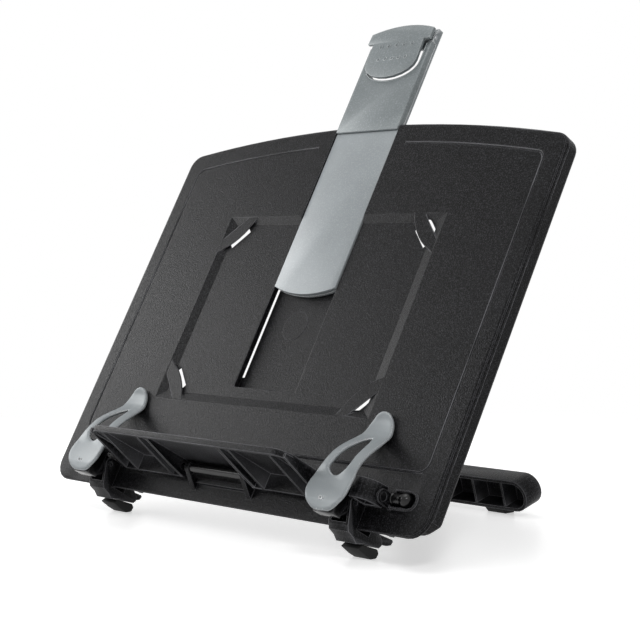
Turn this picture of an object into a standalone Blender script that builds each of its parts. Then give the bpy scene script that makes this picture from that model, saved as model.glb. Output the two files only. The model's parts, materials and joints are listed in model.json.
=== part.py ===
# Folding book stand: a leaning board with a sliding page arm, a folding ledge, two sprung page
# clips on the front feet and a folding rear leg.
#
# Axes on the board: x runs across it, "back" is the distance behind its front face and "up" is
# the distance along it from its lower edge. The leg has the same axes, with "down" from its hinge.

import math

import bmesh
import bpy
from mathutils import Matrix, Vector

# Fits shared by all the pieces
gap = 0.0003
running_gap = 0.0001
overrun = 0.002
small_sides = 12
round_sides = 20

# Board: outline, lean and stance
board_width = 0.350
board_height = 0.274
board_thickness = 0.012
board_lean = math.radians(29.23)
board_lift = 0.0195
arch_radius = 0.949
top_corner_radius = 0.011
bottom_corner_radius = 0.013
corner_steps = 6
arch_steps = 20
rear_reach = 0.199

# Front panel
panel_thickness = 0.0032
panel_edge_round = 0.0022
pan_wall = 0.002
recess_margin = 0.0735
recess_bottom = 0.066
recess_top = 0.2055
recess_depth = 0.0017
recess_side_slope = 0.008
recess_end_slope = 0.006
channel_half_width = 0.0292
channel_bottom = 0.0795
channel_depth = 0.0059
strap_reach = 0.028
strap_bulge = 0.0042
strap_leg = 0.019
strap_sink = 0.0001
strap_rear = 0.0010
strap_steps = 8
strap_hole_half_length = 0.009
strap_hole_margin = 0.0010
groove_margin = 0.014
groove_top_drop = 0.0145
groove_bottom = 0.0378
groove_width = 0.0012
groove_depth = 0.0005
groove_corner_radius = 0.0075
groove_start = 0.041
groove_steps = 8
band_height = 0.0375
band_depth = 0.0015
band_flat_margin = 0.025
post_radius = 0.0038
screw_radius = 0.0012
screw_head_radius = 0.0028
screw_head_height = 0.0012
screw_reach = 0.0062

# Rear frame
frame_wall = 0.002
frame_edge_round = 0.002
window_margin = 0.057
window_bottom = 0.058
window_below_hinge = 0.024
window_corner_radius = 0.010

# Arm guide: the floor strip of the channel, narrower above for the feet of the arm's retainer
guide_thickness = 0.0015
guide_strip_half_width = 0.0279
guide_neck_half_width = 0.024
guide_end_half_width = 0.033
guide_bottom = 0.074
guide_top_drop = 0.0035
guide_slot_bottom = 0.088
guide_disc_up = 0.1267
guide_disc_radius = 0.0103
guide_disc_rise = 0.0002
guide_disc_sides = 32

# Arm
arm_half_width = 0.0287
arm_back = 0.0058
arm_bottom_corner = 0.1523
arm_bottom_bulge = 0.0053
arm_lower_length = 0.1172
arm_upper_length = 0.068
arm_travel = 0.067
arm_lower_face = 0.0008
arm_upper_rise = 0.00075
arm_cover_wall = 0.0016
arm_plate_thickness = 0.002
arm_head_rise = 0.0115
retainer_drop = 0.0198
retainer_length = 0.050
retainer_leg_height = 0.012
retainer_thickness = 0.0011
retainer_leg_width = 0.0030
cheek_width = 0.0042
cheek_slope_start = 0.0025
cheek_slope_back = 0.0016

# Top clip: a plate across the head of the arm with a D-shaped tongue
clip_plate_half_width = 0.0288
clip_plate_rise = 0.014
clip_plate_drop = 0.0045
clip_plate_start = 0.001
clip_thickness = 0.0022
clip_face_top = 0.0034
clip_face_bottom = 0.0050
tongue_half_width = 0.0234
tongue_straight_drop = 0.0155
tongue_drop = 0.0275
tongue_margin = 0.0007
top_hinge_rise = 0.0045
top_hinge_back = 0.0012
top_barrel_radius = 0.0021
top_pin_radius = 0.0009
top_spring_half_width = 0.0046
top_spring_coil_radius = 0.00195
top_spring_wire_radius = 0.0003
top_spring_curls = 6

# Ledge
ledge_axis_up = 0.0187
ledge_axis_back = -0.0071
ledge_top = 0.0255
ledge_plate = 0.0025
ledge_front = 0.045
ledge_lip_height = 0.004
ledge_lip_width = 0.0025
ledge_clip_clearance = 0.022
ledge_corner_radius = 0.010
ledge_rear = 0.0034
ledge_rear_bottom = 0.0125
ledge_rear_wall = 0.002
ledge_rib = 0.0016
ledge_notch_half_width = 0.0335
ledge_strip_rear = 0.0056
ledge_strip_front = 0.012
ledge_strip_bottom = 0.0205
ear_margin = 0.034
ear_width = 0.014
ear_front = 0.017
ear_wall = 0.002
ear_bottom = 0.013
ear_corner_radius = 0.011
rod_half_length = 0.024
rod_radius = 0.00325
rod_end_radius = 0.0022
rod_end_reach = 0.0362
lug_inner = 0.0245
lug_outer = 0.0285
lug_radius = 0.0040
lug_foot = 0.006
lug_shoulder = 0.0140
outer_lug_margin = 0.032
outer_lug_width = 0.0016
outer_lug_radius = 0.0044
ledge_pin_radius = 0.0025
ledge_pin_start = 0.0005
stud_radius = 0.00365
stud_up = 0.0206
stud_margin = 0.018
slot_margin = 0.0143
slot_half_height = 0.0044
slot_centre_up = 0.0204
slot_rim_width = 0.0012
slot_rim_height = 0.0004
saddle_half_width = 0.023
saddle_top = 0.0145
saddle_bottom = 0.0110
saddle_out = 0.0017

# Page clips
clip_margin = 0.059
pivot_up = 0.0125
pivot_out = 0.0070
pivot_boss_radius = 0.0040
lever_length = 0.0705
lever_reach = 0.0256
lever_half_width = 0.01625
lever_pad_thickness = 0.0028
lever_tip_thickness = 0.0017
lever_dish = 0.0007
lever_columns = 6
lever_crown_share = 0.03
hole_bottom = 0.0236
hole_top = 0.0517
hole_half_width = 0.0100
pilot_up = 0.007
pilot_radius = 0.00075
rocker_half_width = 0.0057
rocker_bottom = 0.0002
rocker_rear_out = 0.0074
rocker_rear_bottom = 0.0060
rocker_top = 0.0195
hood_half_width = 0.008
hood_top_out = 0.0123
hood_bottom_out = 0.0140
clip_pin_radius = 0.0015
clip_spring_half_width = 0.0026
clip_spring_coil_radius = 0.00255
clip_spring_wire_radius = 0.0004
clip_spring_curls = 3
coil_points = 10

# Front feet: a bracket hooked round the board's lower edge, and its rubber sole
bracket_half_width = 0.008
bracket_cheek = 0.002
bracket_rear_plate = 0.0022
bracket_rear_top = 0.020
bracket_screw_up = 0.014
sole_half_width = 0.0074
sole_contact_start = 0.0133
sole_contact_end = 0.0175
fin_offset = 0.0035
fin_half_width = 0.0017
fin_reach = 0.0347

# Rear leg
leg_hinge_up = 0.240
leg_hinge_back = 0.019
leg_barrel_radius = 0.0045
leg_barrel_half_width = 0.021
leg_pin_radius = 0.0025
washer_thickness = 0.0009
washer_radius = 0.0040
leg_lug_width = 0.0045
leg_lug_radius = 0.0060
hinge_plate = 0.0018
hinge_plate_half_width = 0.042
hinge_plate_height = 0.030
leg_post_half_width = 0.020
leg_post_half_depth = 0.0035
leg_post_rim = 0.003
leg_post_web = 0.0022
leg_post_ribs = 5
foot_bar_half_width = 0.093
foot_bar_height = 0.0215
foot_bar_half_depth = 0.008
foot_bar_clear = 0.0035
foot_bar_wall = 0.0022
foot_bar_rib = 0.0016
foot_bar_rib_places = (0.047, 0.072)
foot_bar_block = 0.024
leg_tongue_half_width = 0.014
leg_tongue_half_depth = 0.0022
leg_tongue_length = 0.014
rear_foot_centre = 0.061
rear_foot_half_width = 0.008
rear_foot_half_depth = 0.0065
rear_foot_contact = 0.0043

# The lever's side profile and width from its lower tip to its upper one:
# shares of its length, of its reach in front of the board and of its half width
lever_shares = (
    (0.007, 0.940, 0.10),
    (0.020, 0.955, 0.38),
    (0.045, 0.975, 0.62),
    (0.084, 1.000, 0.81),
    (0.129, 0.996, 0.94),
    (0.174, 0.984, 1.00),
    (0.248, 0.945, 0.99),
    (0.318, 0.895, 0.95),
    (0.390, 0.830, 0.90),
    (0.481, 0.738, 0.88),
    (0.542, 0.652, 0.88),
    (0.590, 0.559, 0.87),
    (0.638, 0.450, 0.85),
    (0.685, 0.335, 0.81),
    (0.730, 0.230, 0.76),
    (0.780, 0.150, 0.71),
    (0.830, 0.110, 0.65),
    (0.885, 0.095, 0.57),
    (0.930, 0.105, 0.47),
    (0.965, 0.137, 0.35),
    (0.988, 0.156, 0.21),
    (1.000, 0.162, 0.07),
)

# The ledge's ribs: shares of the way from its middle notch to its end
ledge_rib_shares = (0.1736, 0.777)

# The lever's opening: shares of its half width and of its height, above its round end
hole_side_shares = ((0.95, 0.44), (0.74, 0.60), (0.46, 0.78), (0.18, 0.94))

# Outer side of a bracket below and behind the board: shares of its reach in front of the face and
# behind it, and of its depth below the edge
bracket_front = 0.0062
bracket_behind = 0.0242
bracket_below = 0.0076
bracket_front_shares = ((1.00, -0.14), (0.68, -0.50), (-0.13, -0.68), (-0.73, -1.00))
bracket_rear_shares = (
    (0.43, -0.68), (0.94, -0.38), (1.00, -0.10), (0.97, 0.26), (0.83, 0.59), (0.62, 0.72),
)
bracket_room_shares = ((0.87, 0.07), (0.55, -0.30), (-0.10, -0.46))
sole_front_shares = ((0.43, -0.72), (0.35, -1.20), (0.66, -1.36))
sole_rear_shares = ((1.04, -0.68), (0.955, -0.42))

# Fins behind a bracket: shares of their reach and of the height of the upper one
fin_height = 0.0098
lower_fin_shares = ((0.60, -0.10), (0.89, 0.15), (0.98, 0.33), (1.00, 0.57), (0.97, 0.66), (0.60, 0.52))
upper_fin_shares = ((0.38, 0.66), (0.80, 0.76), (0.99, 0.83), (1.00, 0.93), (0.96, 1.00), (0.38, 0.94))

# Worked out from the sizes above
board_half_width = board_width / 2
recess_half_width = board_half_width - recess_margin
groove_half_width = board_half_width - groove_margin
band_flat_half_width = board_half_width - band_flat_margin
window_half_width = board_half_width - window_margin
window_top = leg_hinge_up - window_below_hinge
frame_front = panel_thickness + gap
frame_skin = board_thickness - frame_wall
guide_front = channel_depth + gap
guide_rear = guide_front + guide_thickness
guide_top = board_height - guide_top_drop
arm_seam = arm_bottom_corner + arm_lower_length
arm_top = arm_seam + arm_upper_length
arm_head_top = arm_top + arm_head_rise
retainer_top = arm_seam - retainer_drop
guide_slot_top = retainer_top + gap
guide_neck_bottom = retainer_top - retainer_leg_height - arm_travel - overrun
clip_plate_top = arm_top + clip_plate_rise
clip_plate_bottom = arm_top + clip_plate_start
tongue_straight = arm_top - tongue_straight_drop
tongue_bottom = arm_top - tongue_drop
top_hinge_up = arm_top + top_hinge_rise
clip_centre = board_half_width - clip_margin
ledge_half_width = clip_centre - ledge_clip_clearance
ear_outer = board_half_width - ear_margin
ear_inner = ear_outer - ear_width
outer_lug_outer = board_half_width - outer_lug_margin
outer_lug_inner = outer_lug_outer - outer_lug_width
stud_reach = board_half_width - stud_margin
slot_end = board_half_width - slot_margin
slot_depth = stud_radius + gap
rocker_room = bracket_half_width - bracket_cheek
leg_axis_y = leg_hinge_up * math.sin(board_lean) + leg_hinge_back * math.cos(board_lean)
leg_axis_z = board_lift + leg_hinge_up * math.cos(board_lean) - leg_hinge_back * math.sin(board_lean)
leg_tilt = math.atan2(rear_reach - leg_axis_y, leg_axis_z)
foot_bar_rise = foot_bar_clear + foot_bar_half_depth * math.sin(leg_tilt)
foot_bar_bottom = (leg_axis_z - foot_bar_rise) / math.cos(leg_tilt)
foot_bar_top = foot_bar_bottom - foot_bar_height


def clear_scene():
    for item in list(bpy.data.objects):
        bpy.data.objects.remove(item, do_unlink=True)


def material(name, colour, roughness, metallic=0.0):
    made = bpy.data.materials.new(name)
    made.use_nodes = True
    shader = made.node_tree.nodes["Principled BSDF"]
    shader.inputs["Base Color"].default_value = (*colour, 1.0)
    shader.inputs["Roughness"].default_value = roughness
    shader.inputs["Metallic"].default_value = metallic
    made.diffuse_color = (*colour, 1.0)
    return made


def empty(name, parent=None, location=(0, 0, 0), turn=0.0):
    made = bpy.data.objects.new(name, None)
    bpy.context.collection.objects.link(made)
    made.parent = parent
    made.location = location
    made.rotation_euler = (turn, 0, 0)
    return made


# Points of an arc about a centre, both ends included.
def arc(centre, radius, start, stop, steps):
    points = []
    for step in range(steps + 1):
        angle = math.radians(start + (stop - start) * step / steps)
        points.append((centre[0] + radius * math.cos(angle), centre[1] + radius * math.sin(angle)))
    return points


# Its corners lie half a step off the axes.
def circle(centre, radius, sides):
    half_step = 180 / sides
    return arc(centre, radius, half_step, 360 - half_step, sides - 1)


def rectangle(left, right, bottom, top):
    return [(left, bottom), (right, bottom), (right, top), (left, top)]


def rounded_rectangle(left, right, bottom, top, radius, steps):
    points = arc((right - radius, bottom + radius), radius, -90, 0, steps)
    points += arc((right - radius, top - radius), radius, 0, 90, steps)
    points += arc((left + radius, top - radius), radius, 90, 180, steps)
    points += arc((left + radius, bottom + radius), radius, 180, 270, steps)
    return points


# A closed body through rings of points that all have the same count.
def loft(name, rings, finish=None):
    shape = bmesh.new()
    made = [[shape.verts.new(point) for point in ring] for ring in rings]
    for lower, upper in zip(made, made[1:]):
        for index in range(len(lower)):
            after = (index + 1) % len(lower)
            shape.faces.new((lower[index], lower[after], upper[after], upper[index]))
    shape.faces.new(made[0])
    shape.faces.new(made[-1])
    bmesh.ops.recalc_face_normals(shape, faces=shape.faces)
    mesh = bpy.data.meshes.new(name)
    shape.to_mesh(mesh)
    shape.free()
    body = bpy.data.objects.new(name, mesh)
    bpy.context.collection.objects.link(body)
    if finish:
        mesh.materials.append(finish)
    return body


def raised(outline, place, axis):
    points = []
    for first, second in outline:
        point = [first, second]
        point.insert("xyz".index(axis), place)
        points.append(point)
    return points


# An outline drawn in the plane square to an axis, extruded along that axis.
def prism(name, outline, start, end, axis, finish=None):
    return loft(name, [raised(outline, start, axis), raised(outline, end, axis)], finish)


# A round body along an axis through stations of (place, radius).
def turned(name, centre, stations, axis, sides, finish=None):
    rings = [raised(circle(centre, radius, sides), place, axis) for place, radius in stations]
    return loft(name, rings, finish)


def combine(body, tool, operation):
    modifier = body.modifiers.new(operation.lower(), "BOOLEAN")
    modifier.operation = operation
    modifier.solver = "EXACT"
    modifier.object = tool
    bpy.context.view_layer.update()
    seen = body.evaluated_get(bpy.context.evaluated_depsgraph_get())
    result = bpy.data.meshes.new_from_object(seen)
    body.modifiers.clear()
    before = body.data
    body.data = result
    bpy.data.meshes.remove(before)
    bpy.data.objects.remove(tool, do_unlink=True)


def cut(body, tool):
    combine(body, tool, "DIFFERENCE")


def add(body, tool):
    combine(body, tool, "UNION")


def shade_round(body):
    body.data.shade_smooth()
    body.data.set_sharp_from_angle(angle=math.radians(32))


# Hangs a finished piece on its frame. Its mesh is moved so that its origin is at the given place.
def hang(body, frame, origin=(0, 0, 0)):
    body.data.transform(Matrix.Translation(-Vector(origin)))
    body.parent = frame
    body.location = origin
    shade_round(body)
    return body


# A wound wire about the x axis: the least gap between its curls is measured on its points.
def coil(name, centre, half_length, radius, wire, curls, finish):
    points = []
    count = curls * coil_points
    for step in range(count + 1):
        angle = 2 * math.pi * step / coil_points
        along = centre[0] - half_length + 2 * half_length * step / count
        points.append((along, centre[1] + radius * math.cos(angle), centre[2] + radius * math.sin(angle)))
    curve = bpy.data.curves.new(name, "CURVE")
    curve.dimensions = "3D"
    curve.bevel_depth = wire
    curve.bevel_resolution = 1
    curve.use_fill_caps = True
    spline = curve.splines.new("POLY")
    spline.points.add(count)
    for place, point in zip(spline.points, points):
        place.co = (*point, 1)
    curve.materials.append(finish)
    made = bpy.data.objects.new(name, curve)
    bpy.context.collection.objects.link(made)
    apart = min((Vector(points[step + coil_points]) - Vector(points[step])).length
                for step in range(count + 1 - coil_points))
    print(name, "least gap between curls", round((apart - 2 * wire) * 1000, 2), "mm")
    return made


# The board's outline, drawn in by an inset: arched top, round corners.
def board_outline(inset=0.0):
    half = board_half_width - inset
    bottom_radius = bottom_corner_radius - inset
    top_radius = top_corner_radius - inset
    arch = arch_radius - inset
    arch_centre = board_height - arch_radius
    corner_x = half - top_radius
    corner_up = arch_centre + math.sqrt((arch - top_radius) ** 2 - corner_x ** 2)
    turn = math.degrees(math.atan2(corner_up - arch_centre, corner_x))
    points = arc((half - bottom_radius, inset + bottom_radius), bottom_radius, -90, 0, corner_steps)
    points += arc((corner_x, corner_up), top_radius, 0, turn, corner_steps)
    points += arc((0, arch_centre), arch, turn, 180 - turn, arch_steps)[1:-1]
    points += arc((-corner_x, corner_up), top_radius, 180 - turn, 180, corner_steps)
    points += arc((-half + bottom_radius, inset + bottom_radius), bottom_radius, 180, 270, corner_steps)
    return points


def arch_height(x, drop=0.0):
    return board_height - arch_radius + math.sqrt((arch_radius - drop) ** 2 - x ** 2)


# Puts points of a recess corner's own frame, in from its side and in from its end, on the board.
def at_corner(points, side, low):
    corner_up = recess_bottom if low else recess_top
    inward = 1 if low else -1
    return [(side * (recess_half_width - x), corner_up + inward * up) for x, up in points]


def diagonal(along, across):
    return (along - across) / math.sqrt(2), (along + across) / math.sqrt(2)


# A corner strap's outline, from its straight outer edge to its arched inner one. Its ends run on
# past the recess's sloped edge into the panel.
def strap_outline(side, low):
    half_chord = strap_reach / math.sqrt(2)
    arch = (half_chord ** 2 + strap_bulge ** 2) / (2 * strap_bulge)
    middle = half_chord + strap_bulge - arch
    spread = math.degrees(math.asin(half_chord / arch))
    bulge = arc((middle, 0), arch, spread, -spread, strap_steps)
    inner = [diagonal(along, across) for along, across in bulge]
    points = [(strap_reach, -overrun), (strap_leg, -overrun), (strap_leg, 0), (0, strap_leg)]
    points += [(-overrun, strap_leg), (-overrun, strap_reach)]
    return at_corner(points + inner, side, low)


# The opening in the recess's floor under a strap: shorter than the strap, a little wider.
def strap_hole_outline(side, low):
    near = strap_leg / math.sqrt(2) - strap_hole_margin
    far = strap_reach / math.sqrt(2) + strap_bulge + strap_hole_margin
    corners = rectangle(near, far, -strap_hole_half_length, strap_hole_half_length)
    return at_corner([diagonal(along, across) for along, across in corners], side, low)


def screw_places():
    inner = window_half_width + post_radius * 2
    return [(side * x, up) for side in (-1, 1) for x, up in (
        (inner, window_bottom - post_radius * 2),
        (inner + post_radius * 2, (window_bottom + window_top) / 2),
        (inner, window_top + post_radius * 2),
    )]


def make_front_panel(frame, finish):
    layers = (
        (0, panel_edge_round),
        (panel_edge_round * 0.15, panel_edge_round * 0.45),
        (panel_edge_round * 0.45, panel_edge_round * 0.15),
        (panel_edge_round, 0),
        (panel_thickness, 0),
    )
    panel = loft("front_panel", [raised(board_outline(inset), back, "y") for back, inset in layers], finish)

    wall = channel_half_width + pan_wall
    walls = rectangle(-wall, wall, channel_bottom - pan_wall, arch_height(wall) - frame_wall)
    add(panel, prism("walls", walls, panel_thickness / 3, channel_depth, "y"))
    for side in (-1, 1):
        backing = [(side * x, up) for x, up in slot_outline(pan_wall)]
        add(panel, prism("backing", backing, panel_thickness / 2, slot_depth + pan_wall, "y"))
    for x, up in screw_places():
        stations = ((panel_thickness / 2, post_radius), (frame_skin - gap, post_radius))
        add(panel, turned("post", (x, up), stations, "y", small_sides))

    # The page side: a band along the lower edge, a groove round the page area, the recess with its
    # straps and the arm's channel
    run = groove_half_width + (groove_half_width - band_flat_half_width) * overrun / band_depth
    band = [(-run, -overrun), (run, -overrun), (band_flat_half_width, band_depth),
            (-band_flat_half_width, band_depth)]
    cut(panel, prism("band", band, -overrun, band_height, "z"))
    cut(panel, prism("groove", groove_outline(), -overrun, groove_depth, "y"))
    rings = []
    for back in (-overrun, recess_depth):
        share = back / recess_depth
        half = recess_half_width - recess_side_slope * share
        low = recess_bottom + recess_end_slope * share
        high = recess_top - recess_end_slope * share
        rings.append(raised(rectangle(-half, half, low, high), back, "y"))
    cut(panel, loft("recess", rings))
    for side in (-1, 1):
        for low in (True, False):
            add(panel, prism("strap", strap_outline(side, low), strap_sink, strap_rear, "y"))
            front = (recess_depth + strap_rear) / 2
            hole = strap_hole_outline(side, low)
            cut(panel, prism("strap_hole", hole, front, panel_thickness + overrun, "y"))
    channel = rectangle(-channel_half_width, channel_half_width, channel_bottom, board_height + overrun)
    cut(panel, prism("channel", channel, -overrun, channel_depth + overrun, "y"))

    # The ledge's hinge: two middle lugs, two outer ones, the saddle and the end studs' rimmed slots
    for side in (-1, 1):
        add(panel, middle_lug(side))
        add(panel, outer_lug(side))
        rim = [(side * x, up) for x, up in slot_outline(slot_rim_width)]
        add(panel, prism("rim", rim, -slot_rim_height, panel_thickness / 2, "y"))
        slot = [(side * x, up) for x, up in slot_outline(0)]
        cut(panel, prism("slot", slot, -overrun, slot_depth, "y"))
        inner_bore = (ledge_axis_back, ledge_axis_up)
        ends = ((side * (lug_inner - overrun), rod_end_radius + running_gap),
                (side * (lug_outer + overrun), rod_end_radius + running_gap))
        cut(panel, turned("bore", inner_bore, ends, "x", round_sides))
        ends = ((side * (outer_lug_inner - overrun), ledge_pin_radius + running_gap),
                (side * (outer_lug_outer + overrun), ledge_pin_radius + running_gap))
        cut(panel, turned("bore", inner_bore, ends, "x", round_sides))
    saddle = rectangle(-saddle_out, band_depth + overrun / 2, saddle_bottom, saddle_top)
    add(panel, prism("saddle", saddle, -saddle_half_width, saddle_half_width, "x"))
    for x, up in screw_places():
        stations = ((panel_thickness, screw_radius + gap), (frame_skin + overrun, screw_radius + gap))
        cut(panel, turned("screw_bore", (x, up), stations, "y", small_sides))
    return hang(panel, frame)


# An end stud's slot, grown by a margin above, below and at its round end.
def slot_outline(margin):
    reach = slot_half_height + margin
    points = [(outer_lug_outer, slot_centre_up - reach)]
    points += arc((slot_end - slot_half_height, slot_centre_up), reach, -90, 90, corner_steps)
    points += [(outer_lug_outer, slot_centre_up + reach)]
    return points


# The groove round the page area, open at the top between its two ends beside the channel.
def groove_outline():
    edges = []
    for offset in (groove_width / 2, -groove_width / 2):
        radius = groove_corner_radius + offset
        corner_x = groove_half_width - groove_corner_radius
        drop = groove_top_drop - offset
        points = arc((corner_x, groove_bottom + groove_corner_radius), radius, -90, 0, corner_steps)
        points += arc((corner_x, arch_height(corner_x, drop) - radius), radius, 0, 90, corner_steps)
        for step in range(1, groove_steps + 1):
            x = corner_x + (groove_start - corner_x) * step / groove_steps
            points.append((x, arch_height(x, drop)))
        edges.append(points)
    outer, inner = edges
    half = outer + inner[::-1]
    return half + [(-x, up) for x, up in half[::-1]]


# A lug whose neck leaves the face below the ledge's swing, so that the ledge folds flat above it.
def middle_lug(side):
    centre = (ledge_axis_back, ledge_axis_up)
    root = band_depth + overrun / 2
    outline = [(root, lug_foot), (root, lug_shoulder - lug_radius / 8), (-lug_radius / 8, lug_shoulder)]
    outline += arc(centre, lug_radius, -62, 240, round_sides)
    ends = sorted((side * lug_inner, side * lug_outer))
    return prism("middle_lug", outline, ends[0], ends[1], "x")


def outer_lug(side):
    centre = (ledge_axis_back, ledge_axis_up)
    root = band_depth + overrun / 2
    outline = [(root, ledge_axis_up + outer_lug_radius)]
    outline += arc(centre, outer_lug_radius, 90, 270, round_sides)
    outline += [(root, ledge_axis_up - outer_lug_radius)]
    ends = sorted((side * outer_lug_inner, side * outer_lug_outer))
    return prism("outer_lug", outline, ends[0], ends[1], "x")


def make_rear_frame(frame, finish):
    rear = board_thickness
    layers = (
        (frame_front, 0),
        (rear - frame_edge_round, 0),
        (rear - frame_edge_round * 0.4, frame_edge_round * 0.2),
        (rear, frame_edge_round),
    )
    rings = [raised(board_outline(inset), back, "y") for back, inset in layers]
    shell = loft("rear_frame", rings, finish)
    inside = board_outline(frame_wall)
    cut(shell, prism("inside", inside, frame_front - overrun, frame_skin, "y"))
    window = rounded_rectangle(-window_half_width, window_half_width, window_bottom, window_top,
                               window_corner_radius, corner_steps)
    cut(shell, prism("window", window, frame_skin - overrun, rear + overrun, "y"))
    half = guide_end_half_width + gap
    mouth = rectangle(-half, half, guide_top - overrun * 2, board_height + overrun)
    cut(shell, prism("mouth", mouth, frame_front - overrun, guide_rear + gap, "y"))
    for x, up in screw_places():
        head = rear - screw_head_height
        stations = ((frame_skin - overrun, screw_radius + gap), (head, screw_radius + gap),
                    (head, screw_head_radius + gap), (rear + overrun, screw_head_radius + gap))
        cut(shell, turned("screw_hole", (x, up), stations, "y", small_sides))
    for side in (-1, 1):
        for x, up in hinge_screw_places() + [(clip_centre, bracket_screw_up)]:
            stations = ((frame_skin - overrun, screw_radius + gap), (rear + overrun, screw_radius + gap))
            cut(shell, turned("screw_hole", (side * x, up), stations, "y", small_sides))
    return hang(shell, frame)


def hinge_screw_places():
    across = hinge_plate_half_width - post_radius
    return [(across, leg_hinge_up + rise) for rise in (-hinge_plate_height / 4, hinge_plate_height / 4)]


def make_arm_guide(frame, finish):
    end = guide_end_half_width
    strip = guide_strip_half_width
    neck = guide_neck_half_width
    right = [(end, guide_bottom), (end, guide_slot_bottom), (strip, guide_slot_bottom)]
    right += [(strip, guide_neck_bottom), (neck, guide_neck_bottom), (neck, guide_slot_top)]
    right += [(end, guide_slot_top), (end, guide_top)]
    outline = right + [(-x, up) for x, up in right[::-1]]
    guide = prism("arm_guide", outline, guide_front, guide_rear, "y", finish)
    disc = [(guide_front - guide_disc_rise, guide_disc_radius), (guide_rear - gap, guide_disc_radius)]
    add(guide, turned("disc", (0, guide_disc_up), disc, "y", guide_disc_sides))
    return hang(guide, frame)


# A screw driven forward from behind: a pointed shank, then its head behind the seat.
def make_screw(name, frame, place, seat, tip, head_height, finish):
    stations = ((tip, screw_radius * 0.5), (tip + screw_radius, screw_radius), (seat, screw_radius),
                (seat, screw_head_radius), (seat + head_height * 0.7, screw_head_radius),
                (seat + head_height, screw_head_radius * 0.7))
    return hang(turned(name, place, stations, "y", small_sides, finish), frame)


def make_shell_screws(frame, finish):
    seat = board_thickness - screw_head_height + gap
    tip = board_thickness - screw_reach
    for number, place in enumerate(screw_places(), 1):
        make_screw(f"shell_screw_{number}", frame, place, seat, tip, screw_head_height - gap, finish)


def arm_foot():
    chord = arm_half_width
    arch = (chord ** 2 + arm_bottom_bulge ** 2) / (2 * arm_bottom_bulge)
    spread = math.degrees(math.asin(chord / arch))
    centre = arm_bottom_corner - arm_bottom_bulge + arch
    return arc((0, centre), arch, -90 - spread, -90 + spread, arch_steps // 2)


# The window round the tongue: as the tongue, with a margin all round.
def tongue_outline(margin, top):
    half = tongue_half_width + margin
    drop = tongue_straight - tongue_bottom + margin
    points = []
    for x, up in arc((0, 0), 1, 180, 360, arch_steps // 2):
        points.append((x * half, tongue_straight + up * drop))
    return points + [(half, top), (-half, top)]


def make_arm(frame, light, dark, back_finish):
    plate_front = arm_back - arm_plate_thickness
    cover_rear = plate_front - gap
    half = arm_half_width

    lower = arm_foot() + [(half, arm_seam - gap), (-half, arm_seam - gap)]
    cover = prism("arm_lower_cover", lower, arm_lower_face, cover_rear, "y", light)
    wall = arm_cover_wall
    room = [(x * (half - wall) / half, up + wall) for x, up in arm_foot()]
    room += [(half - wall, arm_seam - gap - wall), (-half + wall, arm_seam - gap - wall)]
    cut(cover, prism("room", room, arm_lower_face + wall, cover_rear + overrun, "y"))
    hang(cover, frame)

    face = -arm_upper_rise
    upper = rectangle(-half, half, arm_seam, arm_top)
    cover = prism("arm_upper_cover", upper, face, cover_rear, "y", dark)
    room = rectangle(-half + wall, half - wall, arm_seam + wall, tongue_bottom - wall - tongue_margin)
    cut(cover, prism("room", room, face + wall, cover_rear + overrun, "y"))
    window = tongue_outline(tongue_margin, arm_top + overrun)
    cut(cover, prism("window", window, face - overrun, cover_rear + overrun, "y"))
    hang(cover, frame)

    outline = arm_foot() + [(half, arm_head_top), (-half, arm_head_top)]
    plate = prism("arm_back_plate", outline, plate_front, arm_back, "y", back_finish)
    window = tongue_outline(tongue_margin, arm_top - top_barrel_radius)
    cut(plate, prism("window", window, plate_front - overrun, arm_back + overrun, "y"))
    # Each cheek slopes back above the hinge, so that the clip's plate has room to swing
    for side in (-1, 1):
        ends = sorted((side * (half - cheek_width), side * half))
        root = plate_front + arm_plate_thickness / 2
        cheek = [(root, arm_top + gap), (0, arm_top + gap), (0, top_hinge_up + cheek_slope_start),
                 (cheek_slope_back, arm_head_top), (root, arm_head_top)]
        add(plate, prism("cheek", cheek, ends[0], ends[1], "x"))
    bore = [(side * (half + overrun), top_pin_radius + running_gap) for side in (-1, 1)]
    cut(plate, turned("bore", (top_hinge_back, top_hinge_up), bore, "x", small_sides))
    hang(plate, frame)

    inner = guide_neck_half_width + gap
    outer = inner + retainer_leg_width
    front = guide_rear + gap
    rear = front + retainer_thickness
    plate = rectangle(-outer, outer, retainer_top - retainer_length, retainer_top)
    keeper = prism("arm_retainer", plate, front, rear, "y", back_finish)
    for side in (-1, 1):
        ends = sorted((side * inner, side * outer))
        leg = rectangle(ends[0], ends[1], retainer_top - retainer_leg_height, retainer_top)
        add(keeper, prism("leg", leg, arm_back + gap, front + retainer_thickness / 2, "y"))
    hang(keeper, frame)

    ends = [(side * (half - gap), top_pin_radius) for side in (-1, 1)]
    pin = turned("top_clip_pin", (top_hinge_back, top_hinge_up), ends, "x", small_sides, back_finish)
    hang(pin, frame)


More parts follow.
